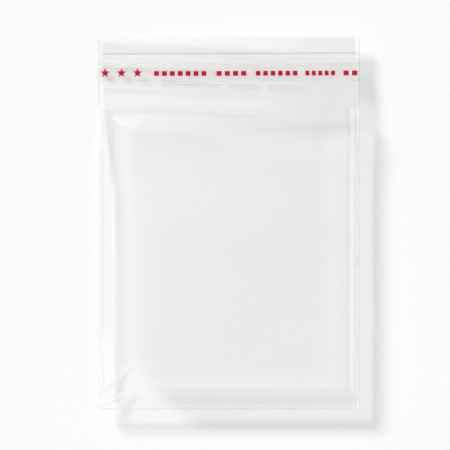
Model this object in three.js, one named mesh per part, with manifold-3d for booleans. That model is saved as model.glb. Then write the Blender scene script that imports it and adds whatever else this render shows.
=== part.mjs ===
// A resealable poly bag lying on its back. One clear film is folded across the bottom and welded up both
// sides. The back panel runs on past the mouth as an open lip, which carries a strip of adhesive under a
// release liner.
// Millimetres. +X is across the bag, +Y runs towards the lip, +Z is up off the table.
// The origin is on the table, under the middle of the bag.

import * as THREE from "three";
import { mergeVertices } from "three/addons/utils/BufferGeometryUtils.js";
import Module from "manifold-3d";

// Bag
const BAG_WIDTH = 178; // across the side welds
const POCKET_LENGTH = 204.5; // bottom fold to mouth
const LIP_LENGTH = 49.5; // mouth to the end of the lip
const FILM = 0.1; // film thickness

// Height of the pocket, which holds a little air
const WELD_HEIGHT = 9.5; // side welds and bottom fold above the table
const CROWN = 5.5; // rise of the front panel above its welds
const FRONT_SHOULDER = 12; // width over which the front panel rises from an edge
const BACK_SHOULDER = 22; // width over which the back panel comes down to the table
const SIDE_FULLNESS = 0.62; // the lower, the rounder the sides of the pocket
const BOTTOM_LAND = 3.4; // flat strip of the front panel along the bottom fold
const BOTTOM_LAND_RISE = 0.3;
const FOLD_RADIUS = 0.35; // bend of the film at the bottom fold
const WELD_RADIUS = 0.6; // bead of molten film along each side

// Mouth
const MOUTH_CROWN = 6.4; // rise of the front panel above its welds at the mouth
const MOUTH_FLARE = 32; // length over which the pocket opens towards the mouth
const MOUTH_SAG = 3.5; // how far the free edge of the front panel hangs back
const MOUTH_SAG_CENTRE = 6;
const MOUTH_SAG_HALF_WIDTH = 62;
const MOUTH_LEFT_HEIGHT = 3.5; // the left corner of the mouth lies lower than the right
const MOUTH_RIGHT_HEIGHT = 10.5;
const MOUTH_DIP = 62; // length of each weld that slopes down to its corner
const BACK_LIFT_BEFORE_MOUTH = 27; // where the back panel leaves the table
const BACK_LIFT_LENGTH = 46;
const EAR = 0.7; // how far each end of the mouth sticks out
const EAR_LENGTH = 2.2;

// Lip
const LIP_END_LEFT_HEIGHT = 1;
const LIP_END_RIGHT_HEIGHT = 7.8;
const LIP_CREASE_FROM_END = 10.6;
const LIP_CREASE_LENGTH = 0.9;
const LIP_CREASE_RISE = 0.8; // the strip beyond the crease stands this much higher

// Closure
const LINER_FROM_END = 16; // end of the lip to the liner
const LINER_WIDTH = 15.9;
const LINER_THICKNESS = 0.08;
const LINER_OVERHANG = 0.6; // past the left edge of the lip
const LINER_DRY_EDGE = 2; // upper margin of the liner that no adhesive reaches, where a finger lifts it
const ADHESIVE_WIDTH = 12.7;
const ADHESIVE_THICKNESS = 0.12;
const TAPE_CLEARANCE = 0.05; // between film, adhesive and liner

// Two wrinkles in the bottom left corner. Each end is given by how far in it lies from the left edge, and
// how far up from the bottom fold.
const WRINKLE_WIDTH = 1.8;
const LONG_WRINKLE_RISE = 1.2;
const LONG_WRINKLE_START_IN = 5.3;
const LONG_WRINKLE_START_UP = 10.4;
const LONG_WRINKLE_END_IN = 22.3;
const LONG_WRINKLE_END_UP = 29.5;
const SHORT_WRINKLE_RISE = 1;
const SHORT_WRINKLE_START_IN = 9.4;
const SHORT_WRINKLE_START_UP = 4.9;
const SHORT_WRINKLE_END_IN = 25.7;
const SHORT_WRINKLE_END_UP = 11.1;

// Fineness of the surface
const EDGE_ZONE = 27; // strip along the sides and the bottom with finer, crowded steps
const EDGE_STEPS = 13;
const EDGE_CROWDING = 1.4;
const MIDDLE_STEPS = 4;
const DIP_STEPS = 7;
const BEND_STEPS = 6;
const EAR_STEPS = 3;
const CREASE_STEPS = 4;
const WELD_SIDES = 8;

const HALF_WIDTH = BAG_WIDTH / 2;
const BOTTOM_Y = -(POCKET_LENGTH + LIP_LENGTH) / 2;
const MOUTH_Y = BOTTOM_Y + POCKET_LENGTH;
const LIP_END_Y = MOUTH_Y + LIP_LENGTH;
const CREASE_Y = LIP_END_Y - LIP_CREASE_FROM_END;
const LINER_TOP_Y = LIP_END_Y - LINER_FROM_END;
const LINER_BOTTOM_Y = LINER_TOP_Y - LINER_WIDTH;
const ADHESIVE_TOP_Y = LINER_TOP_Y - LINER_DRY_EDGE;
const ADHESIVE_BOTTOM_Y = ADHESIVE_TOP_Y - ADHESIVE_WIDTH;
const WELD_INSET = HALF_WIDTH - WELD_RADIUS;
const FOLD_Y = BOTTOM_Y + FOLD_RADIUS;

const { clamp, lerp, smoothstep } = THREE.MathUtils;

// Rises from 0 to 1 as t goes from 0 to 1, steep at first and level at the end.
function shoulder(t) {
  return 1 - (1 - clamp(t, 0, 1)) ** 2;
}

// The same for the rounder sides of the pocket.
function dome(t) {
  return shoulder(t) ** SIDE_FULLNESS;
}

// Steps from one value to another, leaving out the first. A power over 1 crowds the steps at the start.
function stepsBetween(from, to, count, power = 1) {
  return Array.from({ length: count }, (_, i) => lerp(from, to, ((i + 1) / count) ** power));
}

// Steps from -1 to 1 across the bag, crowded at both edges.
function stepsAcross() {
  const zone = EDGE_ZONE / HALF_WIDTH;
  const left = [-1, ...stepsBetween(-1, zone - 1, EDGE_STEPS, EDGE_CROWDING)];
  const right = left.map((u) => -u).reverse();
  return [...left, ...stepsBetween(zone - 1, 1 - zone, MIDDLE_STEPS).slice(0, -1), ...right];
}

// Half the width of the film at y: inside the weld beads on the pocket, full on the lip, and a little ear
// between them.
function halfWidthAt(y) {
  const open = lerp(WELD_INSET, HALF_WIDTH, smoothstep(y, MOUTH_Y - EAR_LENGTH, MOUTH_Y));
  return open + EAR * Math.exp(-(((y - MOUTH_Y) / EAR_LENGTH) ** 2));
}

// Height of one edge of the bag at y, from its heights at the mouth and at the end of the lip.
function edgeHeight(y, atMouth, atEnd) {
  if (y > MOUTH_Y) return lerp(atMouth, atEnd, (y - MOUTH_Y) / LIP_LENGTH);
  return lerp(atMouth, WELD_HEIGHT, smoothstep(MOUTH_Y - y, 0, MOUTH_DIP));
}

// Height of the straight line between the two edges of the bag.
function edgeLine(x, y) {
  const left = edgeHeight(y, MOUTH_LEFT_HEIGHT, LIP_END_LEFT_HEIGHT);
  const right = edgeHeight(y, MOUTH_RIGHT_HEIGHT, LIP_END_RIGHT_HEIGHT);
  return lerp(left, right, clamp(x / BAG_WIDTH + 0.5, 0, 1));
}

// The two wrinkles, as lines on a map of the distance in from the left edge and up from the bottom fold.
const WRINKLES = [
  {
    line: new THREE.Line3(
      new THREE.Vector3(LONG_WRINKLE_START_IN, LONG_WRINKLE_START_UP),
      new THREE.Vector3(LONG_WRINKLE_END_IN, LONG_WRINKLE_END_UP)
    ),
    rise: LONG_WRINKLE_RISE,
  },
  {
    line: new THREE.Line3(
      new THREE.Vector3(SHORT_WRINKLE_START_IN, SHORT_WRINKLE_START_UP),
      new THREE.Vector3(SHORT_WRINKLE_END_IN, SHORT_WRINKLE_END_UP)
    ),
    rise: SHORT_WRINKLE_RISE,
  },
];

// Extra height of one wrinkle at a place on that map. It fades out at both ends.
function wrinkleHeight(wrinkle, place) {
  const along = wrinkle.line.closestPointToPointParameter(place, true);
  const aside = wrinkle.line.at(along, new THREE.Vector3()).distanceTo(place);
  return wrinkle.rise * Math.sin(Math.PI * along) * Math.exp(-((aside / WRINKLE_WIDTH) ** 2));
}

// Middle of the front panel's film.
function frontPoint(x, y) {
  const up = y - FOLD_Y;
  const side = WELD_INSET - Math.abs(x);
  const crown = lerp(MOUTH_CROWN, CROWN, smoothstep(MOUTH_Y - y, 0, MOUTH_FLARE));
  const land = BOTTOM_LAND_RISE * shoulder(up / BOTTOM_LAND);
  const rise = (crown - BOTTOM_LAND_RISE) * shoulder((up - BOTTOM_LAND) / FRONT_SHOULDER) + land;
  const place = new THREE.Vector3(x + HALF_WIDTH, y - BOTTOM_Y);
  const wrinkles = WRINKLES.reduce((sum, wrinkle) => sum + wrinkleHeight(wrinkle, place), 0);
  const z = edgeLine(x, y) + FOLD_RADIUS + rise * dome(side / FRONT_SHOULDER) + wrinkles;
  return new THREE.Vector3(x, y, z);
}

// Middle of the back panel's film and of the lip.
function backPoint(x, y) {
  const side = WELD_INSET - Math.abs(x);
  const liftStart = MOUTH_Y - BACK_LIFT_BEFORE_MOUTH;
  const down =
    dome(side / BACK_SHOULDER) *
    dome((y - FOLD_Y) / BACK_SHOULDER) *
    (1 - smoothstep(y, liftStart, liftStart + BACK_LIFT_LENGTH));
  const step = LIP_CREASE_RISE * smoothstep(y, CREASE_Y - LIP_CREASE_LENGTH, CREASE_Y);
  const z = lerp(edgeLine(x, y) - FOLD_RADIUS, FILM / 2, down) + step;
  return new THREE.Vector3(x, y, z);
}

// Free edge of the front panel.
function mouthEdgeY(x) {
  const t = clamp((x - MOUTH_SAG_CENTRE) / MOUTH_SAG_HALF_WIDTH, -1, 1);
  return MOUTH_Y - MOUTH_SAG * Math.cos((Math.PI / 2) * t) ** 2;
}

// A closed solid of even thickness about a grid of points. Each row runs along +X.
function sheetSolid(rows, thickness) {
  const last = rows.length - 1;
  const width = rows[0].length;
  const positions = [];
  rows.forEach((row, i) =>
    row.forEach((point, j) => {
      const across = row[Math.min(j + 1, width - 1)].clone().sub(row[Math.max(j - 1, 0)]);
      const along = rows[Math.min(i + 1, last)][j].clone().sub(rows[Math.max(i - 1, 0)][j]);
      const normal = across.cross(along).normalize();
      positions.push(...point.clone().addScaledVector(normal, thickness / 2));
      positions.push(...point.clone().addScaledVector(normal, -thickness / 2));
    })
  );
  const upper = (i, j) => 2 * (i * width + j);
  const lower = (i, j) => upper(i, j) + 1;
  const faces = [];
  const quad = (a, b, c, d) => faces.push(a, b, c, a, c, d);
  for (let i = 0; i < last; i += 1) {
    for (let j = 0; j < width - 1; j += 1) {
      quad(upper(i, j), upper(i, j + 1), upper(i + 1, j + 1), upper(i + 1, j));
      faces.push(lower(i, j), lower(i + 1, j + 1), lower(i, j + 1));
      faces.push(lower(i, j), lower(i + 1, j), lower(i + 1, j + 1));
    }
    quad(upper(i, 0), upper(i + 1, 0), lower(i + 1, 0), lower(i, 0));
    quad(upper(i + 1, width - 1), upper(i, width - 1), lower(i, width - 1), lower(i + 1, width - 1));
  }
  for (let j = 0; j < width - 1; j += 1) {
    quad(upper(0, j + 1), upper(0, j), lower(0, j), lower(0, j + 1));
    quad(upper(last, j), upper(last, j + 1), lower(last, j + 1), lower(last, j));
  }
  const geometry = new THREE.BufferGeometry();
  geometry.setAttribute("position", new THREE.Float32BufferAttribute(positions, 3));
  geometry.setIndex(faces);
  return geometry;
}

// Places along the pocket, from the bottom fold to the mouth. Both panels and the weld beads share them.
function pocketSteps() {
  const zoneY = BOTTOM_Y + EDGE_ZONE;
  const dipY = MOUTH_Y - MOUTH_DIP;
  const earY = MOUTH_Y - EAR_LENGTH;
  return [
    FOLD_Y,
    ...stepsBetween(FOLD_Y, zoneY, EDGE_STEPS, EDGE_CROWDING),
    ...stepsBetween(zoneY, dipY, MIDDLE_STEPS),
    ...stepsBetween(dipY, earY, DIP_STEPS),
    ...stepsBetween(earY, MOUTH_Y, EAR_STEPS),
  ];
}

// Places along the lip, past the mouth.
function lipSteps() {
  const earY = MOUTH_Y + EAR_LENGTH;
  const creaseStartY = CREASE_Y - LIP_CREASE_LENGTH;
  return [
    ...stepsBetween(MOUTH_Y, earY, EAR_STEPS),
    ...stepsBetween(earY, LINER_BOTTOM_Y, EAR_STEPS),
    ADHESIVE_BOTTOM_Y,
    ADHESIVE_TOP_Y,
    LINER_TOP_Y,
    creaseStartY,
    ...stepsBetween(creaseStartY, CREASE_Y, CREASE_STEPS),
    LIP_END_Y,
  ];
}

// The rows of the whole film: down the front panel, round the bottom fold, up the back panel and the lip.
function filmRows() {
  const across = stepsAcross();
  const pocketYs = pocketSteps().slice(1);
  const front = [...pocketYs].reverse().map((y) =>
    across.map((u) => {
      const x = u * WELD_INSET;
      return frontPoint(x, lerp(FOLD_Y, mouthEdgeY(x), (y - FOLD_Y) / (MOUTH_Y - FOLD_Y)));
    })
  );
  const bend = Array.from({ length: BEND_STEPS + 1 }, (_, k) => {
    const angle = (Math.PI * k) / BEND_STEPS;
    const y = FOLD_Y - FOLD_RADIUS * Math.sin(angle);
    const z = WELD_HEIGHT + FOLD_RADIUS * Math.cos(angle);
    return across.map((u) => new THREE.Vector3(u * WELD_INSET, y, z));
  });
  const backYs = [...pocketYs, ...lipSteps()];
  const back = backYs.map((y) => across.map((u) => backPoint(u * halfWidthAt(y), y)));
  return [...front, ...bend, ...back];
}

// Bead of molten film that joins the two panels along one side.
function weldBead(side) {
  const rings = [BOTTOM_Y, ...pocketSteps()].map((y) =>
    Array.from({ length: WELD_SIDES }, (_, k) => {
      const angle = (2 * Math.PI * k) / WELD_SIDES;
      const x = side * WELD_INSET + WELD_RADIUS * Math.cos(angle);
      return new THREE.Vector3(x, y, edgeLine(side * HALF_WIDTH, y) + WELD_RADIUS * Math.sin(angle));
    })
  );
  const last = WELD_SIDES * (rings.length - 1);
  const faces = [];
  for (let k = 0; k < WELD_SIDES; k += 1) {
    const next = (k + 1) % WELD_SIDES;
    for (let base = 0; base < last; base += WELD_SIDES) {
      faces.push(base + k, base + k + WELD_SIDES, base + next + WELD_SIDES);
      faces.push(base + k, base + next + WELD_SIDES, base + next);
    }
    if (k > 0 && next > 0) faces.push(0, k, next, last, last + next, last + k);
  }
  const geometry = new THREE.BufferGeometry();
  const positions = rings.flat().flatMap((point) => [...point]);
  geometry.setAttribute("position", new THREE.Float32BufferAttribute(positions, 3));
  geometry.setIndex(faces);
  return geometry;
}

// A flat band on the lip between two places along it, its underside the given height above the film.
function lipBand(fromY, toY, lift, thickness, overhang) {
  const centre = FILM / 2 + lift + thickness / 2;
  const rows = [fromY, toY].map((y) =>
    stepsAcross().map((u) => {
      const x = u * HALF_WIDTH;
      const point = backPoint(x, y);
      point.x = u === -1 ? x - overhang : x;
      point.z += centre;
      return point;
    })
  );
  return sheetSolid(rows, thickness);
}

const wasm = await Module();
wasm.setup();

// A three.js geometry as a solid that can be joined to another.
function toManifold(geometry) {
  const bare = geometry.clone();
  bare.deleteAttribute("normal");
  bare.deleteAttribute("uv");
  const merged = mergeVertices(bare, 1e-4);
  return new wasm.Manifold(
    new wasm.Mesh({
      numProp: 3,
      vertProperties: new Float32Array(merged.attributes.position.array),
      triVerts: new Uint32Array(merged.index.array),
    })
  );
}

// A solid as a three.js geometry.
function toGeometry(solid) {
  const mesh = solid.getMesh();
  const geometry = new THREE.BufferGeometry();
  geometry.setAttribute("position", new THREE.BufferAttribute(mesh.vertProperties, mesh.numProp));
  geometry.setIndex(new THREE.BufferAttribute(mesh.triVerts, 1));
  geometry.computeVertexNormals();
  return geometry;
}

function bagFilm() {
  const film = toManifold(sheetSolid(filmRows(), FILM));
  const left = toManifold(weldBead(-1));
  const right = toManifold(weldBead(1));
  return toGeometry(film.add(left).add(right));
}

function adhesiveStrip() {
  return lipBand(ADHESIVE_BOTTOM_Y, ADHESIVE_TOP_Y, TAPE_CLEARANCE, ADHESIVE_THICKNESS, 0);
}

function releaseLiner() {
  const lift = 2 * TAPE_CLEARANCE + ADHESIVE_THICKNESS;
  return lipBand(LINER_BOTTOM_Y, LINER_TOP_Y, lift, LINER_THICKNESS, LINER_OVERHANG);
}

function piece(name, geometry, material) {
  const mesh = new THREE.Mesh(geometry, new THREE.MeshStandardMaterial(material));
  mesh.name = name;
  return mesh;
}

const group = new THREE.Group();
group.add(
  piece("bag_film", bagFilm(), {
    color: 0xf2f4f4,
    roughness: 0.08,
    metalness: 0,
    transparent: true,
    opacity: 0.3,
  }),
  piece("adhesive_strip", adhesiveStrip(), { color: 0xe6e8e2, roughness: 0.3, metalness: 0 }),
  piece("release_liner", releaseLiner(), { color: 0xe3e4e0, roughness: 0.35, metalness: 0 })
);

export default group;
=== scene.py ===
# A clear resealable poly bag on a pale floor, seen from straight above in soft studio light.
# Metres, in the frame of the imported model: +X across the bag, +Y towards the lip, +Z up off the table.

import math

import bpy
import numpy as np
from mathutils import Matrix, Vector


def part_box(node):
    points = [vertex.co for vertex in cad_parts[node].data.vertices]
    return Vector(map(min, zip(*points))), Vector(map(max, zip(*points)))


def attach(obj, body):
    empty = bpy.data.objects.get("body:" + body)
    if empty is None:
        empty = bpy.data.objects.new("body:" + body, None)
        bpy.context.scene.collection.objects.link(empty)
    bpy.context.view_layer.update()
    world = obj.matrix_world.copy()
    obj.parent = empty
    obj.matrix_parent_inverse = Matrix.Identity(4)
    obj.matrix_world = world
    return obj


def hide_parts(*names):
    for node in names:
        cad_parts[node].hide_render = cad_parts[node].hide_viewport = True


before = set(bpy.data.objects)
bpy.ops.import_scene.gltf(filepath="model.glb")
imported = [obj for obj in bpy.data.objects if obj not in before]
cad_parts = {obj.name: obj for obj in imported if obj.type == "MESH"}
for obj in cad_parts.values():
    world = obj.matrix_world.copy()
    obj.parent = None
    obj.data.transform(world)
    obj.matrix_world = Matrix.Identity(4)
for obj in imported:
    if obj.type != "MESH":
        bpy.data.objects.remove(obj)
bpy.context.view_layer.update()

# Bag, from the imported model
FILM = 0.0001
EAR = 0.0007
FILM_LOW, FILM_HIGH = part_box("bag_film")
LINER_LOW, LINER_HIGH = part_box("release_liner")
ADHESIVE_LOW, ADHESIVE_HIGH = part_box("adhesive_strip")
HALF_WIDTH = FILM_HIGH[0] - EAR
BOTTOM_Y = FILM_LOW[1] + FILM / 2
LIP_END_Y = FILM_HIGH[1]
POCKET_LENGTH = 0.2045
MOUTH_Y = BOTTOM_Y + POCKET_LENGTH

# Heights of the pocket
WELD_HEIGHT = 0.0095
CROWN = 0.0055
FRONT_SHOULDER = 0.012
BACK_SHOULDER = 0.022
SIDE_FULLNESS = 0.62  # the lower, the fuller the pillow at its sides
BOTTOM_LAND = 0.0034
BOTTOM_LAND_RISE = 0.0003
FOLD_RADIUS = 0.00035
WELD_RADIUS = 0.0006
WELD_INSET = HALF_WIDTH - WELD_RADIUS
FOLD_Y = BOTTOM_Y + FOLD_RADIUS

# Mouth
MOUTH_CROWN = 0.0064
MOUTH_FLARE = 0.032
MOUTH_SAG = 0.0035
MOUTH_SAG_CENTRE = 0.006
MOUTH_SAG_HALF_WIDTH = 0.062
MOUTH_LEFT_HEIGHT = 0.0035
MOUTH_RIGHT_HEIGHT = 0.0105
MOUTH_DIP = 0.062
BACK_LIFT_BEFORE_MOUTH = 0.027
BACK_LIFT_LENGTH = 0.046
EAR_LENGTH = 0.0022

# Lip and closure
LIP_END_LEFT_HEIGHT = 0.0010
LIP_END_RIGHT_HEIGHT = 0.0078
LIP_CREASE_FROM_END = 0.0106
LIP_CREASE_LENGTH = 0.0009
LIP_CREASE_RISE = 0.0008
LINER_THICKNESS = 0.00008
LINER_OVERHANG = 0.0006
ADHESIVE_THICKNESS = 0.00012
TAPE_CLEARANCE = 0.00005
CREASE_Y = LIP_END_Y - LIP_CREASE_FROM_END

# Wrinkles out of the bottom left corner: where each starts and ends, in from the left edge and up from the
# bottom fold, and its rise and half width
WRINKLES = [
    ((0.0053, 0.0104), (0.0223, 0.0295), 0.0005, 0.0027),
    ((0.0094, 0.0049), (0.0257, 0.0111), 0.0004, 0.0024),
]

# Fine relief of the film that the solids leave out
# Each wave has its share, its radians per metre along X and Y, and its start.
BILLOW_WAVES = [(0.5, 37, 21, 0.4), (0.3, 61, -33, 2.1), (0.2, 24, 67, 4.0)]
BILLOW_RISE = 0.00016  # slow swells of the front panel
BILLOW_FADE = 0.030
LIP_BILLOW_RISE = 0.00012
LIP_BILLOW_FADE = 0.010
PUCKER_RISE_LEFT = 0.00008  # ripples beside each weld
PUCKER_RISE_RIGHT = 0.00022
PUCKER_INSET = 0.0045
PUCKER_WIDTH = 0.0035
PUCKER_WAVELENGTH = 0.019
PUCKER_START = (0.002, 0.020)  # from where to where above the bottom fold the ripples set in
LAND_RIDGE_RISE = 0.00035  # ridge along the crease above the bottom fold
LAND_RIDGE_UP = 0.0027
LAND_RIDGE_WIDTH = 0.0007
LAND_RIDGE_START = (0.004, 0.012)  # from where to where beside each weld the ridge sets in
MOUTH_RIM_RISE = 0.00045  # rolled edge of the front panel
MOUTH_RIM_INSET = 0.0020
MOUTH_RIM_WIDTH = 0.0008
MOUTH_RIM_START = (0.006, 0.030)
LIP_BEAD_RADIUS = 0.00022  # sealed side edges of the lip
MOUTH_BEAD_RADIUS = 0.00028  # cut edge of the front panel
WELD_UNEVENNESS = (0.01, 0.013)  # share of the radius, and wavelength
LIP_EDGE_UNEVENNESS = (0.15, 0.005)
MOUTH_EDGE_UNEVENNESS = (0.12, 0.011)

# Mesh
EDGE_BAND, EDGE_BAND_STEPS = 0.006, 16
SHOULDER_BAND, SHOULDER_BAND_STEPS = 0.020, 18
MIDDLE_STEPS = 84
TAPE_STEP_SCALE = 0.6
TAPE_ROWS = 40
SHARP_ANGLE = math.radians(50)

# Photograph
BAG_CENTRE_PX = (228.75, 223.0)
PHOTO_CENTRE_PX = (225.0, 225.0)
PHOTO_SIZE_PX = 450
METRES_PER_PX = 0.000682
VIEW_HEIGHT = 0.009  # height above the floor at which the scale was measured
CAMERA_DISTANCE = 1.2
SENSOR_WIDTH = 36.0

# Print on the liner, in pixels of the photograph. Each row of blocks has its two ends and its count.
STAR_CENTRES_PX = (104.4, 121.0, 137.1)
STAR_MIDDLE_PX = 72.2
STAR_RADIUS_PX = 5.1
STAR_WAIST = 0.42
PRINT_MIDDLE_PX = 72.9
BLOCK_HEIGHT_PX = 4.8
BLOCK_ROWS_PX = [
    (153.7, 206.3, 7),
    (216.5, 246.3, 4),
    (255.9, 297.6, 6),
    (305.5, 335.1, 5),
    (343.5, 357.2, 2),
]
BLOCK_FILL = 0.62
INK_COLOUR = (0.44, 0.002, 0.028)
INK_THICKNESS = 0.00002
INK_LIFT = 0.00003

# Clear film, shared by all its parts
HEAD_ON_GLOSS = 0.042  # share of light that one face of the film reflects head on
GRAZING_POWER = 4.5  # the lower, the sooner that share grows as the light comes in at a lower angle
GLOW_SHARE = 0.5  # share of the haze that passes light on

# Haze, from 0 for clear to 1 for milky
POCKET_HAZE = 0.014
LOWER_LIP_HAZE = 0.115
UPPER_LIP_HAZE = 0.17
STREAK_DEPTH = 0.3  # how far faint streaks along the film vary its haze
EDGE_HAZE = 0.01
EDGE_HAZE_WIDTH = 0.007
LEFT_EDGE_SHARE = 0.2
# weld haze: its own cloudiness, and at the right weld also a painted highlight so that it reads as a bright
# line
LEFT_WELD_HAZE = 0.20
RIGHT_WELD_HAZE_AND_HIGHLIGHT = 0.95
LEFT_TO_RIGHT = (-0.02, 0.02)  # from where to where along X the left values turn into the right ones
FOLD_HIGHLIGHT_HAZE = 0.85  # painted highlight: haze that makes the bottom fold a bright line, as if it caught the light
FOLD_HIGHLIGHT_WIDTH = 0.0007
BELOW_MOUTH_REACH = (0.030, 0.001)  # the back panel just below the mouth, at its right end
BELOW_MOUTH_PART = (0.040, 0.068)
BELOW_MOUTH_HEIGHT = (0.0095, 0.0110)
# Painted highlights along the wrinkles, haze standing in for the key light's glint on them: pixels of the
# photograph at both ends, half width in metres, extra haze
WRINKLE_HIGHLIGHTS = [
    ((102.0, 396.5), (134.5, 363.5), 0.0031, 0.24),
    ((100.5, 407.5), (138.0, 391.5), 0.0028, 0.20),
    ((102.0, 399.0), (102.5, 345.0), 0.0016, 0.10),
]
HIGHLIGHT_FRONT_SHARE = 0.40  # share of that painted highlight on the front panel, which turns from the key light there
HIGHLIGHT_PANEL_GAP = 0.0005
HIGHLIGHT_FADE_IN = 0.25  # shares of a painted highlight's length
HIGHLIGHT_FADE_OUT = 0.4
# haze of the liner's dry margins, partly their own frost and partly a painted highlight along its edges
LINER_MARGIN_HAZE_AND_HIGHLIGHT = 0.32
LINER_DRY_EDGE = 0.0003

# Clearness of the film, and the painted shade taken from it
MOUTH_TURN = 0.0008  # half the distance over which the film changes at the mouth
POCKET_CLEARNESS = 0.998
LIP_CLEARNESS = 0.993
LIP_RIGHT_PART = (0.025, 0.080)  # from where to where along X the lip turns from clear to cloudy
LIP_END_PAINTED_SHADE = (-0.015, -0.055)  # painted shade on the strip beyond the crease, at its left and right
LIP_END_TURN = 0.0005
# painted shade on the lip from the tape upwards, growing towards its right
LIP_RIGHT_PAINTED_SHADE = -0.02
LIP_RIGHT_PAINTED_SHADE_PART = (-0.06, 0.02)
# painted shade: a dark line along the crease
CREASE_PAINTED_SHADE = -0.09
CREASE_PAINTED_LINE = (0.0002, 0.0007)
# margin from the edges over which the painted shade fades in
PAINTED_SHADE_MARGIN = (0.0020, 0.0035)

# Gloss of parts of the film, against the rest of it
LIP_LEFT_SHARE = 0.62  # gloss and haze of the lip at its left, against its right end
BACK_LEFT_GLOSS = 0.28  # the back panel where it turns up to the left weld
BACK_RIM_GLOSS = 0.62  # the same at the right weld and the bottom fold
BACK_RIM_BLUR = 0.004
PANEL_GAP = 0.001
RIGHT_EDGE_GLOSS = 0.45  # both panels close to the right weld
RIGHT_EDGE_PART = (0.0040, 0.0060)
CORNER_GLOSS = 0.12  # the drawn film in the bottom left corner
CORNER_REACH = (0.045, 0.064)  # from where to where that corner ends, along both edges together
LINER_GLOSS = 0.15

# Floor, key light and room. A reach is how far a direction leans from straight up, from 0 to 1.
FLOOR_GAP = 0.0001
FLOOR_SIZE = 6.0
SUN_TOWARDS = (-0.60, 0.65, 0.40)
SUN_ANGLE = math.radians(14)
SUN_STRENGTH = 3.72
ROOM_BASE = 0.26
OVERHEAD = 0.74
OVERHEAD_EDGE = (0.88, 0.99)
OVERHEAD_TURN = (-0.11, 0.06)
OVERHEAD_LEFT_GAIN = 1.35
RIGHT_BOX = (0.72, 0.88, 1.4)  # inner and outer reach, and brightness
NEAR_BOX = (0.58, 0.72, 0.6)
LEFT_BOX = (0.60, 0.80, 0.30)
FAR_BOX = (0.60, 0.80, 0.45)
BOX_FADE_IN = 0.22
BOX_FADE_OUT = 0.10
BOX_HALF_LENGTH = 0.45
BOX_END_FADE = 0.15


def px_to_xy(px, py):
    """A place on the bag from a pixel of the photograph."""
    return (px - BAG_CENTRE_PX[0]) * METRES_PER_PX, (BAG_CENTRE_PX[1] - py) * METRES_PER_PX


def smoothstep(value, low, high):
    t = np.clip((value - low) / (high - low), 0, 1)
    return t * t * (3 - 2 * t)


def lerp(a, b, t):
    return a + (b - a) * t


def shoulder(t):
    """Rises from 0 to 1 as t goes from 0 to 1, steep at first and level at the end."""
    return 1 - (1 - np.clip(t, 0, 1)) ** 2


def dome(t):
    """Rises from 0 to 1 as t goes from 0 to 1, like the side of a pillow."""
    return shoulder(t) ** SIDE_FULLNESS


def hump(distance, width):
    return np.exp(-((distance / width) ** 2))


def half_width_at(y):
    """Half the width of the back panel and the lip at y."""
    wide = lerp(WELD_INSET, HALF_WIDTH, smoothstep(y, MOUTH_Y - EAR_LENGTH, MOUTH_Y))
    return wide + EAR * hump(y - MOUTH_Y, EAR_LENGTH)


def edge_height(y, at_mouth, at_end):
    """Height of one edge of the bag at y, from its heights at the mouth and at the end of the lip."""
    lip = lerp(at_mouth, at_end, (y - MOUTH_Y) / (LIP_END_Y - MOUTH_Y))
    pocket = lerp(at_mouth, WELD_HEIGHT, smoothstep(MOUTH_Y - y, 0, MOUTH_DIP))
    return np.where(y > MOUTH_Y, lip, pocket)


def edge_line(x, y):
    """Height of the straight line between the two edges of the bag."""
    left = edge_height(y, MOUTH_LEFT_HEIGHT, LIP_END_LEFT_HEIGHT)
    right = edge_height(y, MOUTH_RIGHT_HEIGHT, LIP_END_RIGHT_HEIGHT)
    return lerp(left, right, np.clip(x / (2 * HALF_WIDTH) + 0.5, 0, 1))


def wrinkle_height(x, y):
    """Rise of all the wrinkles at a place on the front panel."""
    total = 0
    for start, end, rise, width in WRINKLES:
        start_x, start_y = start[0] - HALF_WIDTH, start[1] + BOTTOM_Y
        run_x, run_y = end[0] - start[0], end[1] - start[1]
        along = ((x - start_x) * run_x + (y - start_y) * run_y) / (run_x ** 2 + run_y ** 2)
        along = np.clip(along, 0, 1)
        aside = np.hypot(x - start_x - along * run_x, y - start_y - along * run_y)
        total = total + rise * np.sin(math.pi * along) * hump(aside, width)
    return total


def ripple(t, wavelength, seed):
    """An uneven wave between -1 and 1 along t."""
    turns = 2 * math.pi * t / wavelength
    slow = np.sin(0.61 * turns + 1.7 * seed)
    quick = np.sin(turns + 2.9 * seed + 0.8 * slow)
    return 0.6 * quick + 0.4 * slow


def billow(x, y):
    """Slow swells between about -1 and 1."""
    return sum(share * np.sin(x * in_x + y * in_y + start) for share, in_x, in_y, start in BILLOW_WAVES)


def mouth_edge_y(x):
    """Free edge of the front panel."""
    t = np.clip((x - MOUTH_SAG_CENTRE) / MOUTH_SAG_HALF_WIDTH, -1, 1)
    return MOUTH_Y - MOUTH_SAG * np.cos(math.pi / 2 * t) ** 2


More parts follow.
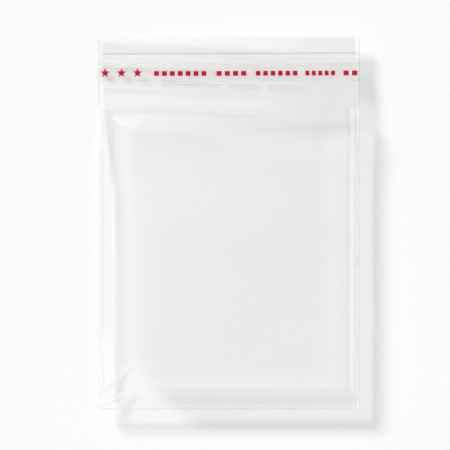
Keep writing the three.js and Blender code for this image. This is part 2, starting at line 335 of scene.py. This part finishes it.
def front_height(x, y):
    """Middle of the front panel's film."""
    up = y - FOLD_Y
    side = WELD_INSET - np.abs(x)
    crown = lerp(MOUTH_CROWN, CROWN, smoothstep(MOUTH_Y - y, 0, MOUTH_FLARE))
    land = BOTTOM_LAND_RISE * shoulder(up / BOTTOM_LAND)
    rise = (crown - BOTTOM_LAND_RISE) * shoulder((up - BOTTOM_LAND) / FRONT_SHOULDER) + land
    z = edge_line(x, y) + FOLD_RADIUS + rise * dome(side / FRONT_SHOULDER) + wrinkle_height(x, y)
    z = z + BILLOW_RISE * billow(x, y) * shoulder(side / BILLOW_FADE) * shoulder(up / BILLOW_FADE)
    seed = np.where(x < 0, 1.0, 2.0)
    puckers = ripple(y, PUCKER_WAVELENGTH, seed) * hump(side - PUCKER_INSET, PUCKER_WIDTH)
    pucker_rise = np.where(x < 0, PUCKER_RISE_LEFT, PUCKER_RISE_RIGHT)
    z = z + pucker_rise * puckers * smoothstep(up, *PUCKER_START)
    ridge = hump(up - LAND_RIDGE_UP, LAND_RIDGE_WIDTH)
    z = z + LAND_RIDGE_RISE * ridge * smoothstep(side, *LAND_RIDGE_START)
    rim = hump(mouth_edge_y(x) - y - MOUTH_RIM_INSET, MOUTH_RIM_WIDTH)
    return z + MOUTH_RIM_RISE * rim * smoothstep(side, *MOUTH_RIM_START)


def back_height(x, y):
    """Middle of the back panel's film and of the lip."""
    side = WELD_INSET - np.abs(x)
    lift_start = MOUTH_Y - BACK_LIFT_BEFORE_MOUTH
    on_table = 1 - smoothstep(y, lift_start, lift_start + BACK_LIFT_LENGTH)
    down = dome(side / BACK_SHOULDER) * dome((y - FOLD_Y) / BACK_SHOULDER) * on_table
    step = LIP_CREASE_RISE * smoothstep(y, CREASE_Y - LIP_CREASE_LENGTH, CREASE_Y)
    swell = LIP_BILLOW_RISE * billow(x, 2 * y) * smoothstep(y, MOUTH_Y, MOUTH_Y + LIP_BILLOW_FADE)
    return lerp(edge_line(x, y) - FOLD_RADIUS, FILM / 2, down) + step + swell


def steps(start, *stretches):
    """Places along a line from start. Each stretch is its end and its number of steps."""
    places = [start]
    for end, count in stretches:
        places.extend(np.linspace(places[-1], end, count + 1)[1:])
    return np.array(places)


def across(scale=1):
    """Steps from -1 to 1 across the bag, closer at both edges."""
    rim = 1 - EDGE_BAND / HALF_WIDTH
    middle = 1 - SHOULDER_BAND / HALF_WIDTH
    counts = (EDGE_BAND_STEPS, SHOULDER_BAND_STEPS, MIDDLE_STEPS)
    edge, zone, body = (max(2, round(count * scale)) for count in counts)
    return steps(-1, (-rim, edge), (-middle, zone), (middle, body), (rim, zone), (1, edge))


def new_object(name, points, faces):
    mesh = bpy.data.meshes.new(name)
    mesh.from_pydata(np.asarray(points).tolist(), [], faces)
    mesh.shade_smooth()
    mesh.set_sharp_from_angle(angle=SHARP_ANGLE)
    piece = bpy.data.objects.new(name, mesh)
    bpy.context.scene.collection.objects.link(piece)
    return piece


def quads(a, b, c, d):
    return np.stack([a, b, c, d], axis=-1).reshape(-1, 4)


def sheet(name, grid, thickness):
    """A closed solid of even thickness about a grid of points, its rows along +X."""
    normal = np.cross(np.gradient(grid, axis=1), np.gradient(grid, axis=0))
    normal /= np.linalg.norm(normal, axis=2, keepdims=True)
    points = np.stack([grid + normal * thickness / 2, grid - normal * thickness / 2], axis=2)
    index = np.arange(grid.shape[0] * grid.shape[1] * 2).reshape(*grid.shape[:2], 2)
    top, under = index[..., 0], index[..., 1]
    faces = np.concatenate([
        quads(top[:-1, :-1], top[:-1, 1:], top[1:, 1:], top[1:, :-1]),
        quads(under[:-1, :-1], under[1:, :-1], under[1:, 1:], under[:-1, 1:]),
        quads(top[:-1, 0], top[1:, 0], under[1:, 0], under[:-1, 0]),
        quads(top[1:, -1], top[:-1, -1], under[:-1, -1], under[1:, -1]),
        quads(top[0, 1:], top[0, :-1], under[0, :-1], under[0, 1:]),
        quads(top[-1, :-1], top[-1, 1:], under[-1, 1:], under[-1, :-1]),
    ])
    return new_object(name, points.reshape(-1, 3), faces.tolist())


def bar(name, path, radius, sides=12):
    """A closed round bar along a path, with one radius for each point of it."""
    direction = np.gradient(path, axis=0)
    direction /= np.linalg.norm(direction, axis=1, keepdims=True)
    aside = np.cross(direction, (0, 0, 1))
    aside /= np.linalg.norm(aside, axis=1, keepdims=True)
    upward = np.cross(aside, direction)
    angle = np.linspace(0, 2 * math.pi, sides, endpoint=False)[:, None]
    ring = np.cos(angle) * aside[:, None] + np.sin(angle) * upward[:, None]
    points = path[:, None] + radius[:, None, None] * ring
    index = np.arange(len(path) * sides).reshape(-1, sides)
    beside = np.roll(index, -1, axis=1)
    faces = quads(index[:-1], index[1:], beside[1:], beside[:-1]).tolist()
    faces += [index[0].tolist(), index[-1, ::-1].tolist()]
    return new_object(name, points.reshape(-1, 3), faces)


def film_piece():
    """The one film: down the front panel, round the bottom fold, up the back panel and along the lip.

    The steps are closest at the bottom shoulder, the mouth and the crease, where the film bends most.
    """
    u = across()
    down = steps(1, (0.965, 26), (0.80, 22), (0.14, 60), (0.055, 32), (0, 30))
    x, along = np.meshgrid(u * WELD_INSET, down)
    y = lerp(FOLD_Y, mouth_edge_y(x), along)
    front = np.stack([x, y, front_height(x, y)], axis=2)[:-1]
    x, angle = np.meshgrid(u * WELD_INSET, np.linspace(0, math.pi, 9))
    bend_y = FOLD_Y - FOLD_RADIUS * np.sin(angle)
    bend_z = WELD_HEIGHT + FOLD_RADIUS * np.cos(angle)
    bend = np.stack([x, bend_y, bend_z], axis=2)
    back_y = steps(
        FOLD_Y,
        (FOLD_Y + BACK_SHOULDER, 20),
        (MOUTH_Y - MOUTH_DIP, 6),
        (MOUTH_Y - 2 * EAR_LENGTH, 24),
        (MOUTH_Y + 2 * EAR_LENGTH, 12),
        (CREASE_Y - 0.003, 16),
        (CREASE_Y + 0.001, 16),
        (LIP_END_Y, 6),
    )[1:]
    wide, y = np.meshgrid(u, back_y)
    x = wide * half_width_at(y)
    back = np.stack([x, y, back_height(x, y)], axis=2)
    return sheet("clear_film", np.concatenate([front, bend, back]), FILM)


def weld_piece(name, side):
    """The bead of molten film along one side of the pocket, a little uneven."""
    y = steps(BOTTOM_Y, (MOUTH_Y, 160))
    x = np.full_like(y, side * WELD_INSET)
    path = np.stack([x, y, edge_line(side * HALF_WIDTH, y)], axis=1)
    share, wavelength = WELD_UNEVENNESS
    return bar(name, path, WELD_RADIUS * (1 + share * ripple(y, wavelength, side)))


def lip_edge_piece(name, side):
    """The sealed edge along one side of the lip."""
    y = steps(MOUTH_Y + EAR_LENGTH, (CREASE_Y - 0.002, 30), (CREASE_Y + 0.001, 12), (LIP_END_Y, 8))
    x = side * half_width_at(y)
    path = np.stack([x, y, back_height(x, y)], axis=1)
    share, wavelength = LIP_EDGE_UNEVENNESS
    return bar(name, path, LIP_BEAD_RADIUS * (1 + share * ripple(y, wavelength, side)), sides=8)


def mouth_edge_piece():
    """The cut edge of the front panel, from weld to weld."""
    x = across(2) * (WELD_INSET - WELD_RADIUS)
    y = mouth_edge_y(x)
    path = np.stack([x, y, front_height(x, y)], axis=1)
    share, wavelength = MOUTH_EDGE_UNEVENNESS
    return bar("mouth_edge", path, MOUTH_BEAD_RADIUS * (1 + share * ripple(x, wavelength, 3.0)), sides=8)


def tape_piece(name, low_y, high_y, lift, thickness, overhang=0.0):
    """A band across the lip, its underside the given height above the film.

    The overhang is how far it stands out past the left edge of the lip.
    """
    u, y = np.meshgrid(across(TAPE_STEP_SCALE), np.linspace(low_y, high_y, TAPE_ROWS))
    x = u * HALF_WIDTH
    z = back_height(x, y) + FILM / 2 + lift + thickness / 2
    x = np.where(u == -1, x - overhang, x)
    return sheet(name, np.stack([x, y, z], axis=2), thickness)


def liner_top(x, y):
    """Upper face of the release liner."""
    stack = 2 * TAPE_CLEARANCE + ADHESIVE_THICKNESS + LINER_THICKNESS
    return back_height(x, y) + FILM / 2 + stack


def ink_piece(name, outlines):
    """Flat printed shapes just above the liner, each a closed prism over an anticlockwise outline."""
    points, faces = [], []
    for outline in outlines:
        first, count = len(points), len(outline)
        for x, y in outline:
            points.append((x, y, liner_top(x, y) + INK_LIFT))
        for x, y in outline:
            points.append((x, y, liner_top(x, y) + INK_LIFT + INK_THICKNESS))
        low = [first + i for i in range(count)]
        high = [first + count + i for i in range(count)]
        faces.append(high)
        faces.append(low[::-1])
        faces += [(low[i], low[(i + 1) % count], high[(i + 1) % count], high[i]) for i in range(count)]
    return new_object(name, points, faces)


def star_outline(centre_px):
    """A plain five-pointed star."""
    cx, cy = px_to_xy(centre_px, STAR_MIDDLE_PX)
    radius = STAR_RADIUS_PX * METRES_PER_PX
    outline = []
    for i in range(10):
        reach = radius * (1 if i % 2 == 0 else STAR_WAIST)
        angle = math.pi / 2 + i * math.pi / 5
        outline.append((cx + reach * math.cos(angle), cy + reach * math.sin(angle)))
    return outline


def block_outlines():
    """Rows of plain blocks in place of the words."""
    outlines = []
    for left_px, right_px, count in BLOCK_ROWS_PX:
        pitch = (right_px - left_px) / (count - 1 + BLOCK_FILL)
        for i in range(count):
            x0, y0 = px_to_xy(left_px + i * pitch, PRINT_MIDDLE_PX + BLOCK_HEIGHT_PX / 2)
            x1, y1 = px_to_xy(left_px + (i + BLOCK_FILL) * pitch, PRINT_MIDDLE_PX - BLOCK_HEIGHT_PX / 2)
            outlines.append([(x0, y0), (x1, y0), (x1, y1), (x0, y1)])
    return outlines


class Nodes:
    """Short calls to build a material's or the world's node tree."""

    def __init__(self, tree):
        self.tree = tree
        tree.nodes.clear()

    def add(self, kind, inputs=None, **settings):
        node = self.tree.nodes.new(kind)
        for name, value in settings.items():
            setattr(node, name, value)
        for socket, value in (inputs or {}).items():
            if isinstance(value, bpy.types.NodeSocket):
                self.tree.links.new(value, node.inputs[socket])
            else:
                node.inputs[socket].default_value = value
        return node

    def math(self, operation, a, b=0.0, c=0.0, clamp=False):
        node = self.add("ShaderNodeMath", {0: a, 1: b, 2: c}, operation=operation, use_clamp=clamp)
        return node.outputs[0]

    def ramp(self, value, low, high, to_low, to_high):
        inputs = {"Value": value, "From Min": low, "From Max": high, "To Min": to_low, "To Max": to_high}
        return self.add("ShaderNodeMapRange", inputs, interpolation_type="SMOOTHSTEP").outputs[0]

    def place(self):
        return self.add("ShaderNodeTexCoord").outputs["Object"]

    def axes(self, vector):
        return self.add("ShaderNodeSeparateXYZ", {0: vector}).outputs

    def noise(self, scale, stretch=(1, 1, 1), detail=2.0):
        mapping = self.add("ShaderNodeMapping", {"Vector": self.place(), "Scale": stretch})
        inputs = {"Vector": mapping.outputs[0], "Scale": scale, "Detail": detail}
        return self.add("ShaderNodeTexNoise", inputs).outputs["Fac"]

    def uneven(self, low, high, scale, stretch=(1, 1, 1), spread=0.2):
        """Wanders between two values. The smaller the spread, the more of the surface is at either one."""
        return self.ramp(self.noise(scale, stretch), 0.5 - spread, 0.5 + spread, low, high)

    def streak(self, x, y, start, end, width):
        """1 along the middle of a line, 0 from its half width outwards and at its ends."""
        run_x, run_y = end[0] - start[0], end[1] - start[1]
        length = math.hypot(run_x, run_y)
        run_x, run_y = run_x / length, run_y / length
        offset = -(start[0] * run_x + start[1] * run_y)
        along = self.math("MULTIPLY_ADD", x, run_x, self.math("MULTIPLY_ADD", y, run_y, offset))
        offset = start[0] * run_y - start[1] * run_x
        aside = self.math("MULTIPLY_ADD", y, run_x, self.math("MULTIPLY_ADD", x, -run_y, offset))
        across = self.ramp(self.math("ABSOLUTE", aside), 0.0, width, 1.0, 0.0)
        begin = self.ramp(along, 0.0, HIGHLIGHT_FADE_IN * length, 0.0, 1.0)
        finish = self.ramp(along, (1 - HIGHLIGHT_FADE_OUT) * length, length, 1.0, 0.0)
        return self.math("MULTIPLY", across, self.math("MULTIPLY", begin, finish))

    def bump(self, height, strength, distance):
        inputs = {"Height": height, "Strength": strength, "Distance": distance}
        return self.add("ShaderNodeBump", inputs).outputs[0]

    def mix(self, factor, first, second):
        return self.add("ShaderNodeMixShader", {0: factor, 1: first, 2: second}).outputs[0]


def new_material(name):
    material = bpy.data.materials.new(name)
    material.use_nodes = True
    return material, Nodes(material.node_tree)


def finish_clear(n, haze, roughness, colour, clear=(0.995, 0.995, 0.995, 1), bump=None, gloss=1.0):
    """Ends a clear film's nodes: haze over clearness, with a reflection that grows at a low angle."""
    facing = n.add("ShaderNodeLayerWeight", {"Blend": 0.5}).outputs["Facing"]
    mirror = n.math("MULTIPLY_ADD", n.math("POWER", facing, GRAZING_POWER), 1 - HEAD_ON_GLOSS, HEAD_ON_GLOSS)
    through = n.add("ShaderNodeBsdfTransparent", {"Color": clear}).outputs[0]
    matte = {"Color": colour, "Roughness": 0.5}
    shine = {"Color": (1, 1, 1, 1), "Roughness": roughness}
    if bump is not None:
        shine["Normal"] = bump
    lit = n.add("ShaderNodeBsdfDiffuse", matte).outputs[0]
    glow = n.add("ShaderNodeBsdfTranslucent", {"Color": colour}).outputs[0]
    cloudy = n.mix(GLOW_SHARE, lit, glow)
    glossy = n.add("ShaderNodeBsdfAnisotropic", shine).outputs[0]
    body = n.mix(haze, through, cloudy)
    surface = n.mix(n.math("MULTIPLY", mirror, gloss), body, glossy)
    n.add("ShaderNodeOutputMaterial", {"Surface": surface})


def past_mouth(n, y, below, above):
    """Turns from one value to another where the pocket ends and the lip starts."""
    return n.ramp(y, MOUTH_Y - MOUTH_TURN, MOUTH_Y + MOUTH_TURN, below, above)


def film_haze(n, x, y, z, inset):
    """Cloudiness of the film: more on the lip, at its right end above all, with painted highlights as haze
    along the wrinkles and along the bottom fold.
    """
    side = n.ramp(inset, 0.0, EDGE_HAZE_WIDTH, EDGE_HAZE, 0.0)
    side = n.math("MULTIPLY", side, n.ramp(x, *LEFT_TO_RIGHT, LEFT_EDGE_SHARE, 1.0))
    fold = n.ramp(y, BOTTOM_Y, BOTTOM_Y + EDGE_HAZE_WIDTH, EDGE_HAZE, 0.0)
    pocket = n.math("ADD", n.math("MAXIMUM", side, fold), POCKET_HAZE)
    under_tape = n.ramp(y, ADHESIVE_LOW[1], ADHESIVE_HIGH[1], LOWER_LIP_HAZE, UPPER_LIP_HAZE)
    lip = n.math("MULTIPLY", under_tape, n.ramp(x, *LIP_RIGHT_PART, LIP_LEFT_SHARE, 1.0))
    haze = n.math("ADD", pocket, n.math("MULTIPLY", lip, past_mouth(n, y, 0.0, 1.0)))
    far, close = BELOW_MOUTH_REACH
    below = n.ramp(y, MOUTH_Y - far, MOUTH_Y - close, 0.0, 1.0)
    below = n.math("MULTIPLY", below, past_mouth(n, y, 1.0, 0.0))
    below = n.math("MULTIPLY", below, n.ramp(x, *BELOW_MOUTH_PART, 0.0, 1.0))
    below = n.math("MULTIPLY", below, n.ramp(z, *BELOW_MOUTH_HEIGHT, LOWER_LIP_HAZE, 0.0))
    haze = n.math("ADD", haze, below)
    # painted highlight: a bright line of haze along the bottom fold
    highlight_top = BOTTOM_Y + FOLD_HIGHLIGHT_WIDTH
    haze = n.math("ADD", haze, n.ramp(y, highlight_top - FOLD_HIGHLIGHT_WIDTH / 2, highlight_top, FOLD_HIGHLIGHT_HAZE, 0.0))
    streaks = n.noise(60.0, (1.0, 0.08, 1.0))
    streaks = n.math("MULTIPLY_ADD", streaks, STREAK_DEPTH, 1 - STREAK_DEPTH / 2)
    haze = n.math("MULTIPLY", haze, streaks)
    # painted highlights along the wrinkles, kept mostly on the back panel
    low, high = WELD_HEIGHT - HIGHLIGHT_PANEL_GAP, WELD_HEIGHT + HIGHLIGHT_PANEL_GAP
    panel = n.ramp(z, low, high, 1.0, HIGHLIGHT_FRONT_SHARE)
    for start, end, width, strength in WRINKLE_HIGHLIGHTS:
        mark = n.streak(x, y, px_to_xy(*start), px_to_xy(*end), width)
        haze = n.math("ADD", haze, n.math("MULTIPLY", mark, n.math("MULTIPLY", panel, strength)))
    return haze


def film_clearness_and_painted_shade(n, x, y, inset):
    """Light that the film lets through: less on the lip, with painted shade beyond its crease, along it and
    towards its right.
    """
    clear = past_mouth(n, y, POCKET_CLEARNESS, LIP_CLEARNESS)
    # painted shade: the strip beyond the crease is darkened, more towards its right end
    beyond = n.ramp(y, CREASE_Y - LIP_END_TURN, CREASE_Y, 0.0, 1.0)
    end = n.math("MULTIPLY", beyond, n.ramp(x, *LIP_RIGHT_PART, *LIP_END_PAINTED_SHADE))
    # painted shade: a dark line along the crease
    from_crease = n.math("ABSOLUTE", n.math("SUBTRACT", y, CREASE_Y - LIP_CREASE_LENGTH / 2))
    crease = n.ramp(from_crease, *CREASE_PAINTED_LINE, CREASE_PAINTED_SHADE, 0.0)
    # painted shade on the lip from the tape upwards, growing towards its right
    right = n.ramp(x, *LIP_RIGHT_PAINTED_SHADE_PART, 0.0, LIP_RIGHT_PAINTED_SHADE)
    shade = n.math("MULTIPLY", n.ramp(y, ADHESIVE_LOW[1], ADHESIVE_HIGH[1], 0.0, 1.0), right)
    # all the painted shade on the lip, faded out near its edges
    painted_shade = n.math("ADD", n.math("ADD", end, crease), shade)
    return n.math("MULTIPLY_ADD", painted_shade, n.ramp(inset, *PAINTED_SHADE_MARGIN, 0.0, 1.0), clear)


def film_gloss(n, x, y, z):
    """Gloss against fresh film: less where the back panel turns up, in a drawn corner and on the lip."""
    from_left = n.math("ADD", x, HALF_WIDTH)
    from_right = n.math("SUBTRACT", HALF_WIDTH, x)
    from_fold = n.math("SUBTRACT", y, BOTTOM_Y)
    reach = (BACK_SHOULDER - BACK_RIM_BLUR, BACK_SHOULDER + BACK_RIM_BLUR)
    left = n.ramp(from_left, *reach, BACK_LEFT_GLOSS, 1.0)
    right = n.ramp(from_right, *reach, BACK_RIM_GLOSS, 1.0)
    bottom = n.ramp(from_fold, *reach, BACK_RIM_GLOSS, 1.0)
    turned_up = n.math("MINIMUM", left, n.math("MINIMUM", right, bottom))
    weld_z = n.ramp(y, MOUTH_Y - MOUTH_DIP, MOUTH_Y, WELD_HEIGHT, MOUTH_LEFT_HEIGHT)
    is_back = n.ramp(n.math("SUBTRACT", weld_z, z), 0.0, PANEL_GAP, 0.0, 1.0)
    back = n.math("MULTIPLY_ADD", n.math("SUBTRACT", turned_up, 1.0), is_back, 1.0)
    edge = n.ramp(from_right, *RIGHT_EDGE_PART, RIGHT_EDGE_GLOSS, 1.0)
    corner = n.ramp(n.math("ADD", from_left, from_fold), *CORNER_REACH, CORNER_GLOSS, 1.0)
    pocket = n.math("MINIMUM", n.math("MULTIPLY", back, edge), corner)
    lip = n.ramp(x, *LIP_RIGHT_PART, LIP_LEFT_SHARE, 1.0)
    on_lip = past_mouth(n, y, 0.0, 1.0)
    return n.math("MULTIPLY_ADD", n.math("SUBTRACT", lip, pocket), on_lip, pocket)


def film_material():
    """Clear polyethylene film with faint streaks along it."""
    material, n = new_material("clear_film")
    x, y, z = n.axes(n.place())
    inset = n.math("SUBTRACT", HALF_WIDTH, n.math("ABSOLUTE", x))
    tint_and_painted_shade = film_clearness_and_painted_shade(n, x, y, inset)
    clear = n.add("ShaderNodeCombineColor", {0: tint_and_painted_shade, 1: tint_and_painted_shade, 2: tint_and_painted_shade}).outputs[0]
    roughness = n.uneven(0.07, 0.16, scale=25.0)
    bump = n.bump(n.noise(260.0, (1.0, 0.25, 1.0)), strength=0.12, distance=0.0004)
    haze = film_haze(n, x, y, z, inset)
    gloss = film_gloss(n, x, y, z)
    finish_clear(n, haze, roughness, (0.94, 0.94, 0.94, 1), clear=clear, bump=bump, gloss=gloss)
    return material


def weld_material():
    """Molten and set film, cloudier than the panels; the much heavier haze of the right weld is partly a
    painted highlight.
    """
    material, n = new_material("welded_film")
    x = n.axes(n.place())[0]
    # the right weld's extra haze is a painted highlight
    haze = n.ramp(x, *LEFT_TO_RIGHT, LEFT_WELD_HAZE, RIGHT_WELD_HAZE_AND_HIGHLIGHT)
    haze = n.math("MULTIPLY", n.uneven(0.9, 1.1, scale=150.0, spread=0.15), haze)
    bump = n.bump(n.noise(400.0), strength=0.1, distance=0.0001)
    finish_clear(n, haze, 0.25, (0.99, 0.99, 0.99, 1), bump=bump, gloss=0.5)
    return material


def cut_edge_highlight_material():
    """Cut edge of the front panel: a painted highlight, heavy haze that makes it a bright line."""
    material, n = new_material("cut_edge")
    # painted highlight: heavy haze that makes the cut edge a bright line
    haze = n.uneven(0.75, 0.95, scale=300.0, spread=0.15)
    finish_clear(n, haze, 0.12, (0.97, 0.97, 0.97, 1))
    return material


def sealed_edge_material():
    """Sealed side edge of the lip, a thin darker line."""
    material, n = new_material("sealed_edge")
    haze = n.uneven(0.06, 0.20, scale=900.0, spread=0.15)
    finish_clear(n, haze, 0.12, (0.94, 0.94, 0.94, 1), clear=(0.8, 0.8, 0.8, 1))
    return material


def adhesive_material():
    """Clear adhesive, a little grey and uneven."""
    material, n = new_material("adhesive")
    haze = n.uneven(0.005, 0.015, scale=220.0, stretch=(1.0, 2.5, 1.0))
    bump = n.bump(n.noise(700.0), strength=0.2, distance=0.0003)
    clear = (0.994, 0.992, 0.991, 1)
    finish_clear(n, haze, 0.3, (0.80, 0.79, 0.785, 1), clear=clear, bump=bump, gloss=0.05)
    return material


def liner_material():
    """Satin release liner. Its two dry margins, clear of the adhesive, look lighter: partly their own frost,
    partly a painted highlight along the liner's edges.
    """
    material, n = new_material("liner")
    y = n.axes(n.place())[1]
    top = n.ramp(y, ADHESIVE_HIGH[1] - LINER_DRY_EDGE, ADHESIVE_HIGH[1] + LINER_DRY_EDGE, 0.0, 1.0)
    bottom = n.ramp(y, ADHESIVE_LOW[1] - LINER_DRY_EDGE, ADHESIVE_LOW[1] + LINER_DRY_EDGE, 1.0, 0.0)
    dry = n.math("ADD", top, bottom, clamp=True)
    cloud = n.uneven(0.015, 0.03, scale=90.0, stretch=(0.5, 2.0, 1.0))
    # haze on the dry margins, partly a painted highlight along the liner's edges
    haze = n.math("MULTIPLY_ADD", dry, LINER_MARGIN_HAZE_AND_HIGHLIGHT, cloud)
    bump = n.bump(n.noise(400.0, (0.4, 1.0, 1.0)), strength=0.15, distance=0.0004)
    clear = (0.998, 0.996, 0.996, 1)
    gloss = n.math("MULTIPLY_ADD", dry, 1 - LINER_GLOSS, LINER_GLOSS)
    finish_clear(n, haze, 0.28, (0.93, 0.92, 0.918, 1), clear=clear, bump=bump, gloss=gloss)
    return material


def ink_material():
    """Crimson printing ink, a little uneven in strength."""
    material, n = new_material("red_ink")
    strength = n.uneven(0.9, 1.1, scale=1800.0, spread=0.15)
    colour = n.add("ShaderNodeVectorMath", {0: INK_COLOUR, "Scale": strength}, operation="SCALE").outputs[0]
    surface = {"Base Color": colour, "Roughness": 0.45, "Specular IOR Level": 0.15}
    surface["Normal"] = n.bump(n.noise(900.0), strength=0.1, distance=0.0002)
    shader = n.add("ShaderNodeBsdfPrincipled", surface).outputs[0]
    n.add("ShaderNodeOutputMaterial", {"Surface": shader})
    return material


def floor_material():
    """Smooth white card."""
    material, n = new_material("white_card")
    tone = n.uneven(0.895, 0.905, scale=3.0)
    colour = n.add("ShaderNodeCombineColor", {0: tone, 1: tone, 2: tone}).outputs[0]
    shader = n.add("ShaderNodeBsdfDiffuse", {"Color": colour}).outputs[0]
    n.add("ShaderNodeOutputMaterial", {"Surface": shader})
    return material


def make_floor():
    half = FLOOR_SIZE / 2
    corners = [(-half, -half), (half, -half), (half, half), (-half, half)]
    floor = new_object("floor", [(x, y, -FLOOR_GAP) for x, y in corners], [(0, 1, 2, 3)])
    floor.data.materials.append(floor_material())


def make_light():
    """A broad key light from the upper left, and a white room: overhead and four boxes round the bag."""
    light = bpy.data.lights.new("key", "SUN")
    light.energy = SUN_STRENGTH
    light.angle = SUN_ANGLE
    key = bpy.data.objects.new("key", light)
    key.rotation_euler = Vector(SUN_TOWARDS).to_track_quat("Z", "Y").to_euler()
    bpy.context.scene.collection.objects.link(key)
    world = bpy.data.worlds.new("room")
    world.use_nodes = True
    n = Nodes(world.node_tree)
    x, y, z = n.axes(n.add("ShaderNodeTexCoord").outputs["Generated"])
    overhead = n.ramp(z, *OVERHEAD_EDGE, 0.0, OVERHEAD)
    overhead = n.math("MULTIPLY", overhead, n.ramp(x, *OVERHEAD_TURN, OVERHEAD_LEFT_GAIN, 1.0))
    strength = n.math("ADD", overhead, ROOM_BASE)
    left, near = n.math("MULTIPLY", x, -1.0), n.math("MULTIPLY", y, -1.0)
    boxes = [(x, y, RIGHT_BOX), (near, x, NEAR_BOX), (left, y, LEFT_BOX), (y, x, FAR_BOX)]
    for reach, aside, (inner, outer, brightness) in boxes:
        begin = n.ramp(reach, inner - BOX_FADE_IN, inner, 0.0, brightness)
        finish = n.ramp(reach, outer, outer + BOX_FADE_OUT, 1.0, 0.0)
        offset = n.math("ABSOLUTE", aside)
        ends = n.ramp(offset, BOX_HALF_LENGTH - BOX_END_FADE, BOX_HALF_LENGTH, 1.0, 0.0)
        box = n.math("MULTIPLY", n.math("MULTIPLY", begin, finish), ends)
        strength = n.math("ADD", strength, box)
    background = n.add("ShaderNodeBackground", {"Color": (1, 1, 1, 1), "Strength": strength}).outputs[0]
    n.add("ShaderNodeOutputWorld", {"Surface": background})
    bpy.context.scene.world = world


def make_camera():
    """Straight above the middle of the photograph."""
    data = bpy.data.cameras.new("camera")
    data.sensor_width = SENSOR_WIDTH
    data.lens = SENSOR_WIDTH * CAMERA_DISTANCE / (PHOTO_SIZE_PX * METRES_PER_PX)
    camera = bpy.data.objects.new("camera", data)
    x, y = px_to_xy(*PHOTO_CENTRE_PX)
    camera.location = (x, y, VIEW_HEIGHT + CAMERA_DISTANCE)
    bpy.context.scene.collection.objects.link(camera)
    bpy.context.scene.camera = camera


def place(piece, material, slot, *nodes):
    """Gives a piece its material and its body, and hides the nodes that it stands for. The slot is not used.
    """
    piece.data.materials.append(material)
    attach(piece, "root")
    if nodes:
        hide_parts(*nodes)


def make_bag():
    place(film_piece(), film_material(), "clear_film", "bag_film")
    welded, sealed = weld_material(), sealed_edge_material()
    for name, side in (("left", -1), ("right", 1)):
        place(weld_piece(f"{name}_weld", side), welded, "clear_film")
        place(lip_edge_piece(f"{name}_lip_edge", side), sealed, "clear_film")
    place(mouth_edge_piece(), cut_edge_highlight_material(), "clear_film")
    adhesive_y = (ADHESIVE_LOW[1], ADHESIVE_HIGH[1])
    adhesive = tape_piece("adhesive", *adhesive_y, TAPE_CLEARANCE, ADHESIVE_THICKNESS)
    place(adhesive, adhesive_material(), "adhesive", "adhesive_strip")
    lift = 2 * TAPE_CLEARANCE + ADHESIVE_THICKNESS
    liner_y = (LINER_LOW[1], LINER_HIGH[1])
    liner = tape_piece("liner", *liner_y, lift, LINER_THICKNESS, LINER_OVERHANG)
    place(liner, liner_material(), "liner", "release_liner")
    ink = ink_material()
    place(ink_piece("printed_stars", [star_outline(px) for px in STAR_CENTRES_PX]), ink, "liner")
    place(ink_piece("printed_blocks", block_outlines()), ink, "liner")


make_camera()
make_floor()
make_light()
make_bag()
scene = bpy.context.scene
scene.view_settings.view_transform = "Standard"
scene.cycles.transparent_max_bounces = 32
